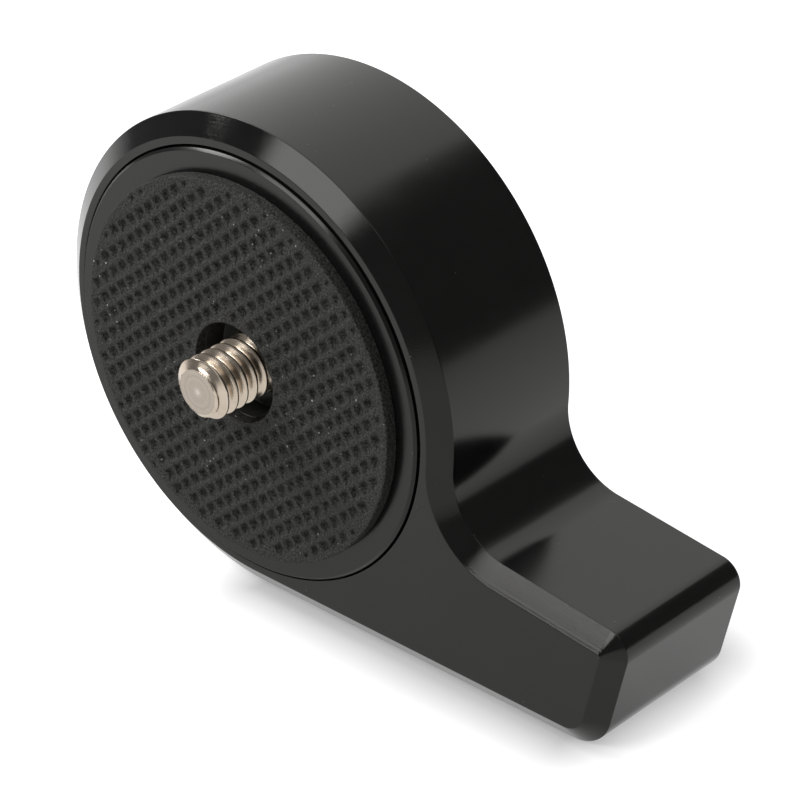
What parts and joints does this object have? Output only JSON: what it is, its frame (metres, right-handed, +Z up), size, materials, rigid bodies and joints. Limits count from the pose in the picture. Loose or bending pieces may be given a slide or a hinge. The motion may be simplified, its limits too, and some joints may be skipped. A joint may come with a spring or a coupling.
{
  "type": "ballhead base",
  "caption": "Round black drum with a tail foot, a panning turntable faced with pitted rubber, and a captive quarter-inch camera screw.",
  "frame": {"origin": "on the screw's axis, in the plane of the rubber pad's face where a camera plate seats", "axes": "+Z up with the foot below, -Y along the thread towards the camera plate, +X towards the tail"},
  "size_m": [0.0707, 0.0255, 0.05],
  "materials": {
    "black_anodised": "satin black anodised",
    "black_anodised_disc": "satin black anodised, turned",
    "rubber": "matte moulded",
    "nickel_steel": "turned, nickel plated",
    "bearing_bronze": "sintered bronze",
    "white_ptfe": "matte",
    "spring_steel": "dark phosphated"
  },
  "bodies": {
    "base": {"body": "black_anodised", "hub_bush": "bearing_bronze", "front_thrust_washer": "white_ptfe", "rear_thrust_washer": "white_ptfe"},
    "turntable": {"turntable": "black_anodised_disc", "friction_pad": "rubber", "disc_spring": "spring_steel", "hub_retaining_ring": "spring_steel", "screw_snap_ring": "spring_steel"},
    "camera_screw": {"camera_screw": "nickel_steel", "screw_washer": "white_ptfe"}
  },
  "joints": [
    {"name": "turntable_pan", "type": "hinge", "parent": "base", "child": "turntable", "pos_m": [0, 0, 0], "axis": [0, 1, 0], "continuous": true},
    {"name": "screw_turn", "type": "hinge", "parent": "turntable", "child": "camera_screw", "pos_m": [0, 0, 0], "axis": [0, 1, 0], "continuous": true}
  ]
}
